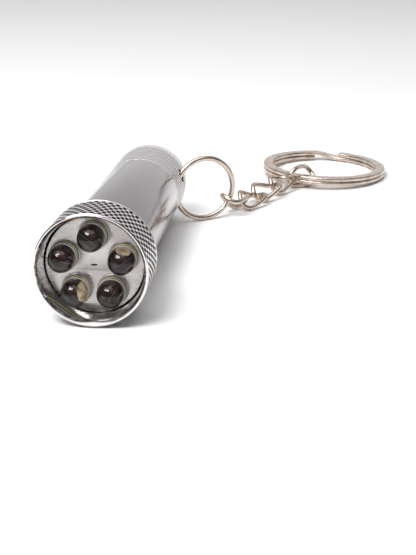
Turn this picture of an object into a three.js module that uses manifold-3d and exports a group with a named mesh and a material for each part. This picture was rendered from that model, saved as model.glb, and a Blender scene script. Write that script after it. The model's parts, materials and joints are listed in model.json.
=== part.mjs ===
// Keychain flashlight: a knurled aluminium torch with five LEDs, lying on its side, with a wire
// key loop, a chain of twisted links and a flat split ring. Millimetres, +Z up.
//
// The torch is built about its own axis: local +Y runs from the front rim to the tail, +X is to
// the right and +Z is up. Stations along the axis are distances behind the front rim.
import * as THREE from 'three';
import { mergeVertices } from 'three/addons/utils/BufferGeometryUtils.js';
import Module from 'manifold-3d';

const wasm = await Module();
wasm.setup();

// ---- Driving dimensions: torch ----
const HEAD_RADIUS = 10.75;
const HEAD_LENGTH = 10.5;
const BODY_RADIUS = 8.6;
const TOTAL_LENGTH = 70;
const CAP_LENGTH = 16;
const EDGE_BREAK = 0.3;
const RUN_GAP = 0.07;
const FACE_GAP = 0.05;

// Head recess and LED module
const MOUTH_RADIUS = 9.9;
const POCKET_RADIUS = 9.4;
const PLATE_RADIUS = 9.32;
const PLATE_STATION = 4.1;
const PLATE_THICKNESS = 0.8;
const BOARD_STATION = 6.4;
const BOARD_THICKNESS = 1;
const BOARD_CLEARANCE = 0.1;
const KNURL_START = 1.2;
const KNURL_END = 9.5;
const KNURL_DEPTH = 0.05;
const STEP_SLOPE = 0.1;
const BEAD_GROOVE_END = 9.7;
const BEAD_GROOVE_DEPTH = 0.25;
const LED_COUNT = 5;
const LED_FIRST_ANGLE = 90;
const LED_RADIUS = 2.5;
const LED_PITCH_RADIUS = 5.8;
const LED_CENTRE_STATION = 1.1;
const LED_FLANGE_RADIUS = 2.9;
const LED_FLANGE_STATION = 5.15;
const LED_FLANGE_THICKNESS = 0.9;
const LED_HOLE_RADIUS = 2.7;
const LED_LEG_SPACING = 2.54;
const LED_LEG_WIDTH = 0.5;
const MODULE_RING_INNER = 8.85;

// Barrel, its two threaded necks, and the O-rings on them
const BORE_RADIUS = 6.9;
const FRONT_NECK_RADIUS = 8.08;
const FRONT_NECK_STATION = 7.6;
const REAR_NECK_RADIUS = 7.88;
const REAR_NECK_LENGTH = 5.2;
const NECK_CHAMFER = 0.2;
const SEAL_GROOVE_DEPTH = 0.6;
const SEAL_GROOVE_WIDTH = 1;
const HEAD_SEAL_STATION = 9.7;
const TAIL_SEAL_OFFSET = 1.1;
const ORING_WIDTH = 0.8;
const ORING_THICKNESS = 0.55;

// Battery pack
const CELL_RADIUS = 5.8;
const CELL_HEIGHT = 5.4;
const CELL_COUNT = 4;
const CELL_STATION = 17.1;
const CELL_BUTTON_HEIGHT = 0.5;
const CELL_BUTTON_INSET = 1;
const CELL_BUTTON_TAPER = 0.1;
const CELL_EDGE_BREAK = 0.2;
const SLEEVE_RADIUS = 6.8;
const SLEEVE_INNER = 5.9;
const SLEEVE_STATION = 13;
const SLEEVE_LENGTH = 36;
const SPRING_WIRE = 0.35;
const SPRING_RADIUS = 3.2;
const FRONT_SPRING_TURNS = 5;
const REAR_SPRING_TURNS = 6;

// Tail cap, switch and button
const THREAD_BORE = 7.95;
const WEB_STATION = 60.3;
const WEB_THICKNESS = 1.2;
const COLLAR_BORE = 7.85;
const SWITCH_STATION = 51;
const SWITCH_RADIUS = 6.5;
const SWITCH_FLANGE_RADIUS = 7.7;
const SWITCH_FLANGE_THICKNESS = 0.9;
const SWITCH_CUP_RADIUS = 5.5;
const SWITCH_CUP_FLOOR = 57.2;
const BUTTON_RADIUS = 4.43;
const BUTTON_HOLE_RADIUS = 4.5;
const BUTTON_FLANGE_RADIUS = 5.3;
const BUTTON_FLANGE_THICKNESS = 1.2;
const BUTTON_END = 68.8;
// The button's rounded end: how far each corner lies in from the side and down from the end
const BUTTON_CROWN = [[0, 1.1], [0.3, 0.5], [1.2, 0.1]];
const PLUNGER_RADIUS = 1.4;
const PLUNGER_HOLE_DEPTH = 3;
const PLUNGER_SUNK = 1.4;
const LOOP_HOLE_RADIUS = 1.6;
const LOOP_HOLE_STATION = 63.8;
const LOOP_HOLE_ANGLES = [19, -27];
const DRILL_LENGTH = 4;
const DRILL_INSET = 0.5;

// ---- Driving dimensions: key loop, chain and split ring ----
const WIRE_END_GAP = 0.02;
const LOOP_RADIUS = 7.17;
const LOOP_WIRE = 0.62;
const LOOP_HEADING = 30;
const LOOP_CENTRE = [13, 67.1];
const LINK_LENGTH = 10;
const LINK_WIDTH = 6;
const LINK_WIRE = 0.6;
const LINK_TWIST = -40;
const SPLIT_RADIUS = 14.85;
const SPLIT_CENTRE = [40, 111.1];
const SPLIT_BAND_WIDTH = 2.7;
const SPLIT_BAND_THICKNESS = 1;
const SPLIT_LAYER_PITCH = 1.06;
const SPLIT_STEP_HALF_ANGLE = 12;
const SPLIT_STEP_BEARING = 88;
const SPLIT_END_ANGLE = 1.5;
const SPLIT_EDGE_BREAK = 0.25;
const SPLIT_TILT = 2.5;
const SPLIT_TILT_BEARING = 45;

// Where each chain link lies: its centre, then its heading, nose-down pitch and roll in degrees
const LINK_POSES = [
  { at: [19.76, 72.89, 3.37], heading: 66, pitch: 21, roll: -15 },
  { at: [23.12, 79.19, 2.16], heading: 61, pitch: 3, roll: 22 },
  { at: [26.19, 85.7, 2.59], heading: 55, pitch: -4, roll: 19 },
  { at: [29.28, 92.42, 2.67], heading: 68, pitch: -2, roll: 25 },
  { at: [34.24, 97.67, 2.97], heading: 45, pitch: 5, roll: 83 },
];

// ---- Facets ----
const SIDES = 48;
const SMALL_SIDES = 24;
const LED_SIDES = 18;
const LED_DOME_STEPS = 5;
const SEAL_SIDES = 32;
const LOOP_STEPS = 48;
const LINK_STEPS = 36;
const SPLIT_STEPS = 100;
const SPRING_STEPS_PER_TURN = 9;
const WIRE_SIDES = 8;
const SPRING_WIRE_SIDES = 5;
const CURVE_DIVISIONS = 800;
const WELD_TOLERANCE = 1e-4;
const DEG = Math.PI / 180;

// The torch lies on the bead behind the head and on the rim of the tail, so its axis dips rearwards
const HEAD_REST_STATION = HEAD_LENGTH - EDGE_BREAK;
const TAIL_REST_STATION = TOTAL_LENGTH - EDGE_BREAK;
const DIP = Math.asin((HEAD_RADIUS - BODY_RADIUS) / (TAIL_REST_STATION - HEAD_REST_STATION));
const FRONT_HEIGHT = HEAD_RADIUS * Math.cos(DIP) + HEAD_REST_STATION * Math.sin(DIP);

// ---- Materials ----
const metal = (color, roughness) => new THREE.MeshStandardMaterial({ color, roughness, metalness: 1 });
const plain = (color, roughness) => new THREE.MeshStandardMaterial({ color, roughness, metalness: 0 });
const CHROME = metal(0xc9c9cb, 0.12);
const SATIN = metal(0x98959a, 0.35);
const NICKEL = metal(0xb9aca2, 0.2);
const STEEL = metal(0xa9a9a6, 0.3);
const BRASS = metal(0xc7a35a, 0.3);
const PLATE_FINISH = metal(0xcfcccb, 0.4);
const CLEAR_EPOXY = new THREE.MeshStandardMaterial({
  color: 0xd8d2c4,
  roughness: 0.05,
  transparent: true,
  opacity: 0.5,
});
const BLACK_PLASTIC = plain(0x1c1c1e, 0.5);
const WHITE_PLASTIC = plain(0xe6e4de, 0.5);
const BLACK_RUBBER = plain(0x17171a, 0.8);
const BOARD_GREEN = plain(0x2d6a3c, 0.5);

// ---- Geometry helpers ----

// Leaves only positions, shares the vertices and drops the triangles that collapse on an axis
function weld(geometry) {
  const bare = geometry.index ? geometry.toNonIndexed() : geometry.clone();
  bare.deleteAttribute('normal');
  bare.deleteAttribute('uv');
  const welded = mergeVertices(bare, WELD_TOLERANCE);
  const kept = [];
  for (let i = 0; i < welded.index.count; i += 3) {
    const corners = [0, 1, 2].map((k) => welded.index.getX(i + k));
    if (new Set(corners).size === 3) kept.push(...corners);
  }
  welded.setIndex(kept);
  return facingOut(welded);
}

// Six times the volume, negative when the faces point inwards
function signedVolume(geometry) {
  const position = geometry.attributes.position;
  const corner = [new THREE.Vector3(), new THREE.Vector3(), new THREE.Vector3()];
  let total = 0;
  for (let i = 0; i < geometry.index.count; i += 3) {
    corner.forEach((v, k) => v.fromBufferAttribute(position, geometry.index.getX(i + k)));
    total += corner[0].dot(corner[1].clone().cross(corner[2]));
  }
  return total;
}

function facingOut(geometry) {
  if (signedVolume(geometry) > 0) return geometry;
  const flipped = [];
  for (let i = 0; i < geometry.index.count; i += 3) {
    flipped.push(geometry.index.getX(i), geometry.index.getX(i + 2), geometry.index.getX(i + 1));
  }
  geometry.setIndex(flipped);
  return geometry;
}

function toSolid(geometry) {
  const welded = weld(geometry);
  const vertProperties = new Float32Array(welded.attributes.position.array);
  const triVerts = new Uint32Array(welded.index.array);
  return new wasm.Manifold(new wasm.Mesh({ numProp: 3, vertProperties, triVerts }));
}

function toGeometry(solid) {
  const mesh = solid.getMesh();
  const geometry = new THREE.BufferGeometry();
  geometry.setAttribute('position', new THREE.BufferAttribute(new Float32Array(mesh.vertProperties), 3));
  geometry.setIndex([...mesh.triVerts]);
  return geometry;
}

function cut(body, tools) {
  return toGeometry(tools.reduce((solid, tool) => solid.subtract(toSolid(tool)), toSolid(body)));
}

function join(pieces) {
  return toGeometry(pieces.map(toSolid).reduce((solid, next) => solid.add(next)));
}

// A solid turned about the torch axis from [radius, station] corners. The facets touch the true
// circle from outside, and one of them faces straight down.
function turned(corners, sides = SIDES) {
  const widen = 1 / Math.cos(Math.PI / sides);
  const profile = corners.map(([radius, station]) => new THREE.Vector2(radius * widen, station));
  return new THREE.LatheGeometry(profile, sides, Math.PI / sides);
}

// A closed ring: its profile comes back to its first corner
function turnedRing(corners, sides = SIDES) {
  return turned([...corners, corners[0]], sides);
}

function roundSection(radius, sides) {
  const corners = [];
  for (let i = 0; i < sides; i += 1) {
    const angle = (2 * Math.PI * (i + 0.5)) / sides;
    corners.push(new THREE.Vector2(radius * Math.cos(angle), radius * Math.sin(angle)));
  }
  return new THREE.Shape(corners);
}

function swept(section, path, steps) {
  return weld(new THREE.ExtrudeGeometry(section, { steps, bevelEnabled: false, extrudePath: path }));
}

// A curve given by a function of its parameter
class FormulaCurve extends THREE.Curve {
  constructor(formula) {
    super();
    this.formula = formula;
    this.arcLengthDivisions = CURVE_DIVISIONS;
  }

  getPoint(t) {
    return this.formula(t);
  }
}

function node(name, geometry, material) {
  const mesh = new THREE.Mesh(weld(geometry), material);
  mesh.name = name;
  return mesh;
}

// ---- Head ----

function headBezel() {
  const threadStation = BOARD_STATION + BOARD_THICKNESS + BOARD_CLEARANCE;
  return turnedRing([
    [MOUTH_RADIUS, 0],
    [HEAD_RADIUS - EDGE_BREAK, 0],
    [HEAD_RADIUS, EDGE_BREAK],
    [HEAD_RADIUS, KNURL_START],
    [HEAD_RADIUS - KNURL_DEPTH, KNURL_START + STEP_SLOPE],
    [HEAD_RADIUS - KNURL_DEPTH, KNURL_END - STEP_SLOPE],
    [HEAD_RADIUS - BEAD_GROOVE_DEPTH, KNURL_END],
    [HEAD_RADIUS - BEAD_GROOVE_DEPTH, BEAD_GROOVE_END],
    [HEAD_RADIUS, BEAD_GROOVE_END + STEP_SLOPE],
    [HEAD_RADIUS, HEAD_REST_STATION],
    [HEAD_RADIUS - EDGE_BREAK, HEAD_LENGTH],
    [FRONT_NECK_RADIUS + RUN_GAP, HEAD_LENGTH],
    [FRONT_NECK_RADIUS + RUN_GAP, threadStation],
    [POCKET_RADIUS, threadStation],
    [POCKET_RADIUS, PLATE_STATION],
  ]);
}

function ledPlaces() {
  const places = [];
  for (let i = 0; i < LED_COUNT; i += 1) {
    const angle = (LED_FIRST_ANGLE + (360 * i) / LED_COUNT) * DEG;
    places.push([LED_PITCH_RADIUS * Math.cos(angle), LED_PITCH_RADIUS * Math.sin(angle)]);
  }
  return places;
}

// A flat disc with one hole at each LED, its front face at the plate's station
function reflectorPlate() {
  const outline = new THREE.Shape();
  for (let i = 0; i < SIDES; i += 1) {
    const angle = (2 * Math.PI * (i + 0.5)) / SIDES;
    const reach = PLATE_RADIUS / Math.cos(Math.PI / SIDES);
    const corner = [reach * Math.cos(angle), reach * Math.sin(angle)];
    if (i === 0) outline.moveTo(...corner);
    else outline.lineTo(...corner);
  }
  outline.closePath();
  ledPlaces().forEach(([x, z]) => {
    const hole = new THREE.Path();
    hole.absarc(x, -z, LED_HOLE_RADIUS / Math.cos(Math.PI / SMALL_SIDES), 0, 2 * Math.PI);
    outline.holes.push(hole);
  });
  const disc = new THREE.ExtrudeGeometry(outline, {
    depth: PLATE_THICKNESS,
    bevelEnabled: false,
    curveSegments: SMALL_SIDES / 2,
  });
  disc.rotateX(-Math.PI / 2);
  disc.translate(0, PLATE_STATION, 0);
  return disc;
}

// One clear LED: dome, body, flange and two legs down to the board
function led() {
  const profile = [];
  for (let i = 0; i <= LED_DOME_STEPS; i += 1) {
    const angle = (i / LED_DOME_STEPS) * (Math.PI / 2);
    profile.push([LED_RADIUS * Math.sin(angle), LED_CENTRE_STATION - LED_RADIUS * Math.cos(angle)]);
  }
  const flangeEnd = LED_FLANGE_STATION + LED_FLANGE_THICKNESS;
  profile.push([LED_RADIUS, LED_FLANGE_STATION]);
  profile.push([LED_FLANGE_RADIUS, LED_FLANGE_STATION]);
  profile.push([LED_FLANGE_RADIUS, flangeEnd]);
  profile.push([0, flangeEnd]);
  const legLength = BOARD_STATION - FACE_GAP - flangeEnd;
  const legs = [-1, 1].map((side) => {
    const leg = new THREE.BoxGeometry(LED_LEG_WIDTH, 2 * legLength, LED_LEG_WIDTH);
    return leg.translate((side * LED_LEG_SPACING) / 2, flangeEnd, 0);
  });
  return join([turned(profile, LED_SIDES), ...legs]);
}

// Spacer between the plate and the board
function moduleRing() {
  const front = PLATE_STATION + PLATE_THICKNESS + FACE_GAP;
  const back = BOARD_STATION - FACE_GAP;
  return turnedRing([
    [MODULE_RING_INNER, front],
    [PLATE_RADIUS, front],
    [PLATE_RADIUS, back],
    [MODULE_RING_INNER, back],
  ]);
}

function ledBoard() {
  const back = BOARD_STATION + BOARD_THICKNESS;
  return turned([
    [0, BOARD_STATION],
    [PLATE_RADIUS, BOARD_STATION],
    [PLATE_RADIUS, back],
    [0, back],
  ]);
}

// A coil spring along the torch axis, with its wire ends cut flat
function coilSpring(start, end, turns) {
  const first = start + SPRING_WIRE + FACE_GAP;
  const span = end - start - 2 * SPRING_WIRE - 2 * FACE_GAP;
  const path = new FormulaCurve((t) => {
    const angle = 2 * Math.PI * turns * t;
    const x = SPRING_RADIUS * Math.cos(angle);
    const z = SPRING_RADIUS * Math.sin(angle);
    return new THREE.Vector3(x, first + span * t, z);
  });
  return swept(roundSection(SPRING_WIRE, SPRING_WIRE_SIDES), path, turns * SPRING_STEPS_PER_TURN);
}

// ---- Barrel ----

// The corners of an O-ring's groove in a neck, from front to back
function sealGroove(neckRadius, centreStation) {
  const front = centreStation - SEAL_GROOVE_WIDTH / 2;
  const back = centreStation + SEAL_GROOVE_WIDTH / 2;
  return [
    [neckRadius, front],
    [neckRadius - SEAL_GROOVE_DEPTH, front],
    [neckRadius - SEAL_GROOVE_DEPTH, back],
    [neckRadius, back],
  ];
}

function barrel() {
  const frontShoulder = HEAD_LENGTH + FACE_GAP;
  const rearShoulder = TOTAL_LENGTH - CAP_LENGTH - FACE_GAP;
  const rearEnd = TOTAL_LENGTH - CAP_LENGTH + REAR_NECK_LENGTH;
  return turnedRing([
    [BORE_RADIUS, FRONT_NECK_STATION],
    [FRONT_NECK_RADIUS - NECK_CHAMFER, FRONT_NECK_STATION],
    [FRONT_NECK_RADIUS, FRONT_NECK_STATION + NECK_CHAMFER],
    ...sealGroove(FRONT_NECK_RADIUS, HEAD_SEAL_STATION),
    [FRONT_NECK_RADIUS, frontShoulder],
    [BODY_RADIUS, frontShoulder],
    [BODY_RADIUS, rearShoulder],
    [REAR_NECK_RADIUS, rearShoulder],
    ...sealGroove(REAR_NECK_RADIUS, rearShoulder + TAIL_SEAL_OFFSET),
    [REAR_NECK_RADIUS, rearEnd - NECK_CHAMFER],
    [REAR_NECK_RADIUS - NECK_CHAMFER, rearEnd],
    [BORE_RADIUS, rearEnd],
  ]);
}

// An O-ring in the groove of a neck, its outside just clear of the thread bore
function oRing(neckRadius, centreStation) {
  const middle = neckRadius - ORING_THICKNESS / 2;
  const half = ORING_WIDTH / 2;
  return turnedRing([
    [middle, centreStation - half],
    [neckRadius, centreStation],
    [middle, centreStation + half],
    [neckRadius - ORING_THICKNESS, centreStation],
  ], SEAL_SIDES);
}

// ---- Battery pack ----

function batterySleeve() {
  const end = SLEEVE_STATION + SLEEVE_LENGTH;
  return turnedRing([
    [SLEEVE_INNER, SLEEVE_STATION],
    [SLEEVE_RADIUS, SLEEVE_STATION],
    [SLEEVE_RADIUS, end],
    [SLEEVE_INNER, end],
  ], SMALL_SIDES);
}

// A button cell: the smaller anode button faces the front, the can faces the tail
function buttonCell(index) {
  const front = CELL_STATION + index * (CELL_HEIGHT + FACE_GAP);
  const canFront = front + CELL_BUTTON_HEIGHT;
  const back = front + CELL_HEIGHT;
  return turned([
    [0, front],
    [CELL_RADIUS - CELL_BUTTON_INSET, front],
    [CELL_RADIUS - CELL_BUTTON_INSET + CELL_BUTTON_TAPER, canFront],
    [CELL_RADIUS, canFront + CELL_BUTTON_TAPER],
    [CELL_RADIUS, back - CELL_EDGE_BREAK],
    [CELL_RADIUS - CELL_EDGE_BREAK, back],
    [0, back],
  ], SMALL_SIDES);
}

// ---- Tail ----

function radialDrill(angle, station, radius) {
  const drill = new THREE.CylinderGeometry(radius, radius, DRILL_LENGTH, SMALL_SIDES);
  drill.rotateZ(-Math.PI / 2);
  drill.translate(BODY_RADIUS - DRILL_INSET, 0, 0);
  drill.rotateY(-angle * DEG);
  return drill.translate(0, station, 0);
}

// The knurled cap: thread bore, web with the button hole, and the open collar behind it
function tailCap() {
  const front = TOTAL_LENGTH - CAP_LENGTH;
  const webEnd = WEB_STATION + WEB_THICKNESS;
  const shell = turnedRing([
    [THREAD_BORE, front],
    [BODY_RADIUS, front],
    [BODY_RADIUS, TAIL_REST_STATION],
    [BODY_RADIUS - EDGE_BREAK, TOTAL_LENGTH],
    [COLLAR_BORE, TOTAL_LENGTH],
    [COLLAR_BORE, webEnd],
    [BUTTON_HOLE_RADIUS, webEnd],
    [BUTTON_HOLE_RADIUS, WEB_STATION],
    [THREAD_BORE, WEB_STATION],
  ]);
  return cut(shell, LOOP_HOLE_ANGLES.map((angle) => radialDrill(angle, LOOP_HOLE_STATION, LOOP_HOLE_RADIUS)));
}

// Switch body: a plug with a flange, a cup for the button's flange and a blind hole for the plunger
function switchBody() {
  const flangeEnd = WEB_STATION - FACE_GAP;
  const flangeStation = flangeEnd - SWITCH_FLANGE_THICKNESS;
  const holeEnd = SWITCH_CUP_FLOOR - PLUNGER_HOLE_DEPTH;
  return turned([
    [0, SWITCH_STATION],
    [SWITCH_RADIUS, SWITCH_STATION],
    [SWITCH_RADIUS, flangeStation],
    [SWITCH_FLANGE_RADIUS, flangeStation],
    [SWITCH_FLANGE_RADIUS, flangeEnd],
    [SWITCH_CUP_RADIUS, flangeEnd],
    [SWITCH_CUP_RADIUS, SWITCH_CUP_FLOOR],
    [PLUNGER_RADIUS + RUN_GAP, SWITCH_CUP_FLOOR],
    [PLUNGER_RADIUS + RUN_GAP, holeEnd],
    [0, holeEnd],
  ], SMALL_SIDES);
}

function switchPlunger() {
  const front = SWITCH_CUP_FLOOR - PLUNGER_SUNK;
  const end = WEB_STATION - FACE_GAP - BUTTON_FLANGE_THICKNESS - FACE_GAP;
  return turned([
    [0, front],
    [PLUNGER_RADIUS, front],
    [PLUNGER_RADIUS, end],
    [0, end],
  ], SMALL_SIDES);
}

// Push button: a flange held behind the web and a stem with a rounded end
function pushButton() {
  const flangeEnd = WEB_STATION - FACE_GAP;
  const flangeStation = flangeEnd - BUTTON_FLANGE_THICKNESS;
  return turned([
    [0, flangeStation],
    [BUTTON_FLANGE_RADIUS, flangeStation],
    [BUTTON_FLANGE_RADIUS, flangeEnd],
    [BUTTON_RADIUS, flangeEnd],
    ...BUTTON_CROWN.map(([inset, drop]) => [BUTTON_RADIUS - inset, BUTTON_END - drop]),
    [0, BUTTON_END],
  ], SMALL_SIDES);
}

// ---- Key loop, chain and split ring ----

// A ring of round wire in its own XY plane, its two ends butted with a hairline gap at -X
function keyLoop() {
  const gap = WIRE_END_GAP / LOOP_RADIUS;
  const path = new FormulaCurve((t) => {
    const angle = -Math.PI + gap + (2 * Math.PI - 2 * gap) * t;
    return new THREE.Vector3(LOOP_RADIUS * Math.cos(angle), LOOP_RADIUS * Math.sin(angle), 0);
  });
  return swept(roundSection(LOOP_WIRE, WIRE_SIDES), path, LOOP_STEPS);
}

// The centre line of a link: a stadium in XY, turned about X in proportion to the distance along it
function linkPoint(distance) {
  const bend = LINK_WIDTH / 2 - LINK_WIRE;
  const straight = LINK_LENGTH / 2 - LINK_WIRE - bend;
  const arc = Math.PI * bend;
  const flat = new THREE.Vector2();
  if (distance < straight) {
    flat.set(distance, bend);
  } else if (distance < straight + arc) {
    const angle = (distance - straight) / bend;
    flat.set(straight + bend * Math.sin(angle), bend * Math.cos(angle));
  } else if (distance < 3 * straight + arc) {
    flat.set(2 * straight + arc - distance, -bend);
  } else if (distance < 3 * straight + 2 * arc) {
    const angle = (distance - 3 * straight - arc) / bend;
    flat.set(-straight - bend * Math.sin(angle), -bend * Math.cos(angle));
  } else {
    flat.set(distance - 4 * straight - 2 * arc, bend);
  }
  const twist = (LINK_TWIST * DEG * flat.x) / (straight + bend);
  return new THREE.Vector3(flat.x, flat.y * Math.cos(twist), flat.y * Math.sin(twist));
}

// A twisted chain link of bent wire, its ends butted at the middle of one long side
function chainLink() {
  const bend = LINK_WIDTH / 2 - LINK_WIRE;
  const straight = LINK_LENGTH / 2 - LINK_WIRE - bend;
  const length = 4 * straight + 2 * Math.PI * bend;
  const drawn = length - 2 * WIRE_END_GAP;
  const path = new FormulaCurve((t) => linkPoint(WIRE_END_GAP + drawn * t));
  return swept(roundSection(LINK_WIRE, WIRE_SIDES), path, LINK_STEPS);
}

// The flat wire's section: thickness along X, width along Y, with broken edges
function bandSection() {
  const h = SPLIT_BAND_THICKNESS / 2;
  const w = SPLIT_BAND_WIDTH / 2;
  const hIn = h - SPLIT_EDGE_BREAK;
  const wIn = w - SPLIT_EDGE_BREAK;
  const outline = [[-h, -wIn], [-hIn, -w], [hIn, -w], [h, -wIn], [h, wIn], [hIn, w], [-hIn, w], [-h, wIn]];
  return new THREE.Shape(outline.map(([x, y]) => new THREE.Vector2(x, y)));
}

// Two flat turns laid one on the other, joined by a step where the wire climbs from one to the other.
// The band lies about the Z axis, its step at +X and its lowest face at Z = 0.
function splitRing() {
  const half = SPLIT_STEP_HALF_ANGLE * DEG;
  const from = half + SPLIT_END_ANGLE * DEG;
  const to = 4 * Math.PI - from;
  const path = new FormulaCurve((t) => {
    const angle = from + (to - from) * t;
    const climb = THREE.MathUtils.smoothstep(angle, 2 * Math.PI - half, 2 * Math.PI + half);
    const height = SPLIT_BAND_THICKNESS / 2 + SPLIT_LAYER_PITCH * climb;
    return new THREE.Vector3(SPLIT_RADIUS * Math.cos(angle), SPLIT_RADIUS * Math.sin(angle), height);
  });
  return swept(bandSection(), path, SPLIT_STEPS);
}

// ---- Assembly ----

const torch = new THREE.Group();
torch.position.set(0, 0, FRONT_HEIGHT);
torch.rotation.x = -DIP;

torch.add(node('head_bezel', headBezel(), CHROME));
torch.add(node('reflector_plate', reflectorPlate(), PLATE_FINISH));
ledPlaces().forEach(([x, z], i) => {
  const lamp = node(`led_${i + 1}`, led(), CLEAR_EPOXY);
  lamp.position.set(x, 0, z);
  torch.add(lamp);
});
torch.add(node('module_ring', moduleRing(), BLACK_PLASTIC));
torch.add(node('led_board', ledBoard(), BOARD_GREEN));
const frontSpringStart = BOARD_STATION + BOARD_THICKNESS + FACE_GAP;
const frontSpring = coilSpring(frontSpringStart, CELL_STATION - FACE_GAP, FRONT_SPRING_TURNS);
torch.add(node('front_spring', frontSpring, BRASS));
torch.add(node('head_oring', oRing(FRONT_NECK_RADIUS, HEAD_SEAL_STATION), BLACK_RUBBER));
torch.add(node('barrel', barrel(), SATIN));
torch.add(node('battery_sleeve', batterySleeve(), WHITE_PLASTIC));
for (let i = 0; i < CELL_COUNT; i += 1) torch.add(node(`button_cell_${i + 1}`, buttonCell(i), STEEL));
const stackEnd = CELL_STATION + CELL_COUNT * (CELL_HEIGHT + FACE_GAP);
const rearSpring = coilSpring(stackEnd, SWITCH_STATION - FACE_GAP, REAR_SPRING_TURNS);
torch.add(node('rear_spring', rearSpring, STEEL));
const tailSealStation = TOTAL_LENGTH - CAP_LENGTH - FACE_GAP + TAIL_SEAL_OFFSET;
torch.add(node('tail_oring', oRing(REAR_NECK_RADIUS, tailSealStation), BLACK_RUBBER));
torch.add(node('switch_body', switchBody(), BLACK_PLASTIC));
torch.add(node('switch_plunger', switchPlunger(), WHITE_PLASTIC));
torch.add(node('push_button', pushButton(), BLACK_RUBBER));
torch.add(node('tail_cap', tailCap(), CHROME));

const loop = node('key_loop', keyLoop(), NICKEL);
loop.position.set(...LOOP_CENTRE, LOOP_RADIUS + LOOP_WIRE);
loop.rotation.set(Math.PI / 2, 0, LOOP_HEADING * DEG, 'ZYX');

const chain = new THREE.Group();
LINK_POSES.forEach((pose, i) => {
  const link = node(`chain_link_${i + 1}`, chainLink(), NICKEL);
  link.position.set(...pose.at);
  link.rotation.set(pose.roll * DEG, pose.pitch * DEG, pose.heading * DEG, 'ZYX');
  chain.add(link);
});

// The split ring rests on its far side, lifted a little where the last link passes under it
const ring = new THREE.Group();
const ringBody = node('split_ring', splitRing(), STEEL);
ringBody.rotation.z = (SPLIT_STEP_BEARING - SPLIT_TILT_BEARING) * DEG;
const tilted = new THREE.Group();
tilted.rotation.y = SPLIT_TILT * DEG;
tilted.add(ringBody);
ring.add(tilted);
ring.rotation.z = SPLIT_TILT_BEARING * DEG;
ring.position.set(...SPLIT_CENTRE, (SPLIT_RADIUS + SPLIT_BAND_WIDTH / 2) * Math.sin(SPLIT_TILT * DEG));

const assembly = new THREE.Group();
assembly.add(torch, loop, chain, ring);

// The origin is the middle of the footprint, on the surface that the object lies on
assembly.updateMatrixWorld(true);
const box = new THREE.Box3().setFromObject(assembly, true);
assembly.position.set(-(box.min.x + box.max.x) / 2, -(box.min.y + box.max.y) / 2, -box.min.z);
assembly.updateMatrixWorld(true);

export default assembly;
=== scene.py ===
"""Looks of the keychain flashlight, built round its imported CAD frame.

Every piece is modelled in millimetres in a frame of its own (the torch's axis, a link's middle, a
ring's middle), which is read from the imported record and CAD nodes, and is then placed in the row
frame. The torch frame has its origin at the middle of the front rim, with +Y towards the tail.
"""

import json
import math
from types import SimpleNamespace

import bmesh
import bpy
import numpy as np
from mathutils import Matrix, Vector


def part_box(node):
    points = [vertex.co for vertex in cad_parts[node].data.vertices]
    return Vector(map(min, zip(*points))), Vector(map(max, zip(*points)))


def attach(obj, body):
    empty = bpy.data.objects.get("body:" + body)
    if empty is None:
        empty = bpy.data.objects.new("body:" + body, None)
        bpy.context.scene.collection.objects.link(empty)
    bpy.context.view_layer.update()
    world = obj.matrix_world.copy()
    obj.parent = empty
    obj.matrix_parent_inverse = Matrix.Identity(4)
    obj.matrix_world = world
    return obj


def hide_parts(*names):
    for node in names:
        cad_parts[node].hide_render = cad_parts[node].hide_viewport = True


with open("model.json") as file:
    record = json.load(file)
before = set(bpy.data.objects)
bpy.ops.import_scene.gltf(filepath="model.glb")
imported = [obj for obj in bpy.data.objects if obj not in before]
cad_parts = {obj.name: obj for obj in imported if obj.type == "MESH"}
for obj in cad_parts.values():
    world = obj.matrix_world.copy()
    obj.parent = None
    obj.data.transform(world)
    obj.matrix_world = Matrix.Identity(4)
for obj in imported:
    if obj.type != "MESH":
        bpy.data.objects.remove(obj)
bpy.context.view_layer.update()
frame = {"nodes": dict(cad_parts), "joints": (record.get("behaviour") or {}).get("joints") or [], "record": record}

RECORD = frame["record"]
JOINTS = {j["name"]: j for j in frame["joints"]}
MOUNTS = {m["name"]: m for m in RECORD["mounts"]}
MM = 0.001
TAU = 2 * math.pi

# ---- Driving sizes, in millimetres. Stations are distances behind the front rim. ----
HEAD_RADIUS = 10.745
HEAD_LENGTH = 10.5
MOUTH_RADIUS = 9.9
POCKET_RADIUS = 9.4
PLATE_STATION = 4.1
PLATE_THICKNESS = 0.8
PLATE_EDGE_RADIUS = 9.22
THREAD_BORE_HEAD = 8.15
BODY_RADIUS = 8.6
CAP_STATION = 54
TOTAL_LENGTH = 70
BORE_RADIUS = 6.9
FRONT_NECK_RADIUS = 8.08
REAR_NECK_RADIUS = 7.88
THREAD_BORE_CAP = 7.95
WEB_STATION = 60.3
WEB_THICKNESS = 1.2
COLLAR_BORE = 7.85
BUTTON_RADIUS = 4.43
BUTTON_FLANGE_RADIUS = 5.28
BUTTON_HOLE_RADIUS = 4.5
LOOP_HOLE_RADIUS = 1.6
LED_RADIUS = 2.5
LED_HOLE_RADIUS = 2.7
LED_PITCH_RADIUS = 5.8
LED_DOME_STATION = 1.1
LED_FLANGE_STATION = 5.15
LED_FLANGE_RADIUS = 2.88
LED_COUNT = 5
SPRING_RADIUS = 3.2
SPRING_WIRE = 0.35
SWITCH_RADIUS = 6.5
SWITCH_CUP_RADIUS = 5.5
SWITCH_CUP_STATION = 57.2
PLUNGER_HOLE_RADIUS = 1.47
PLUNGER_HOLE_STATION = 54.2
LOOP_RADIUS = 7.17
LOOP_WIRE = 0.62
LINK_LENGTH = 10
LINK_WIDTH = 6
LINK_WIRE = 0.6
LINK_WIRE_SHOWN = 0.58
LINK_TWIST = -40
SPLIT_RADIUS = 14.85
SPLIT_BAND_WIDTH = 2.56
SPLIT_BAND_THICKNESS = 1.0
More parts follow.
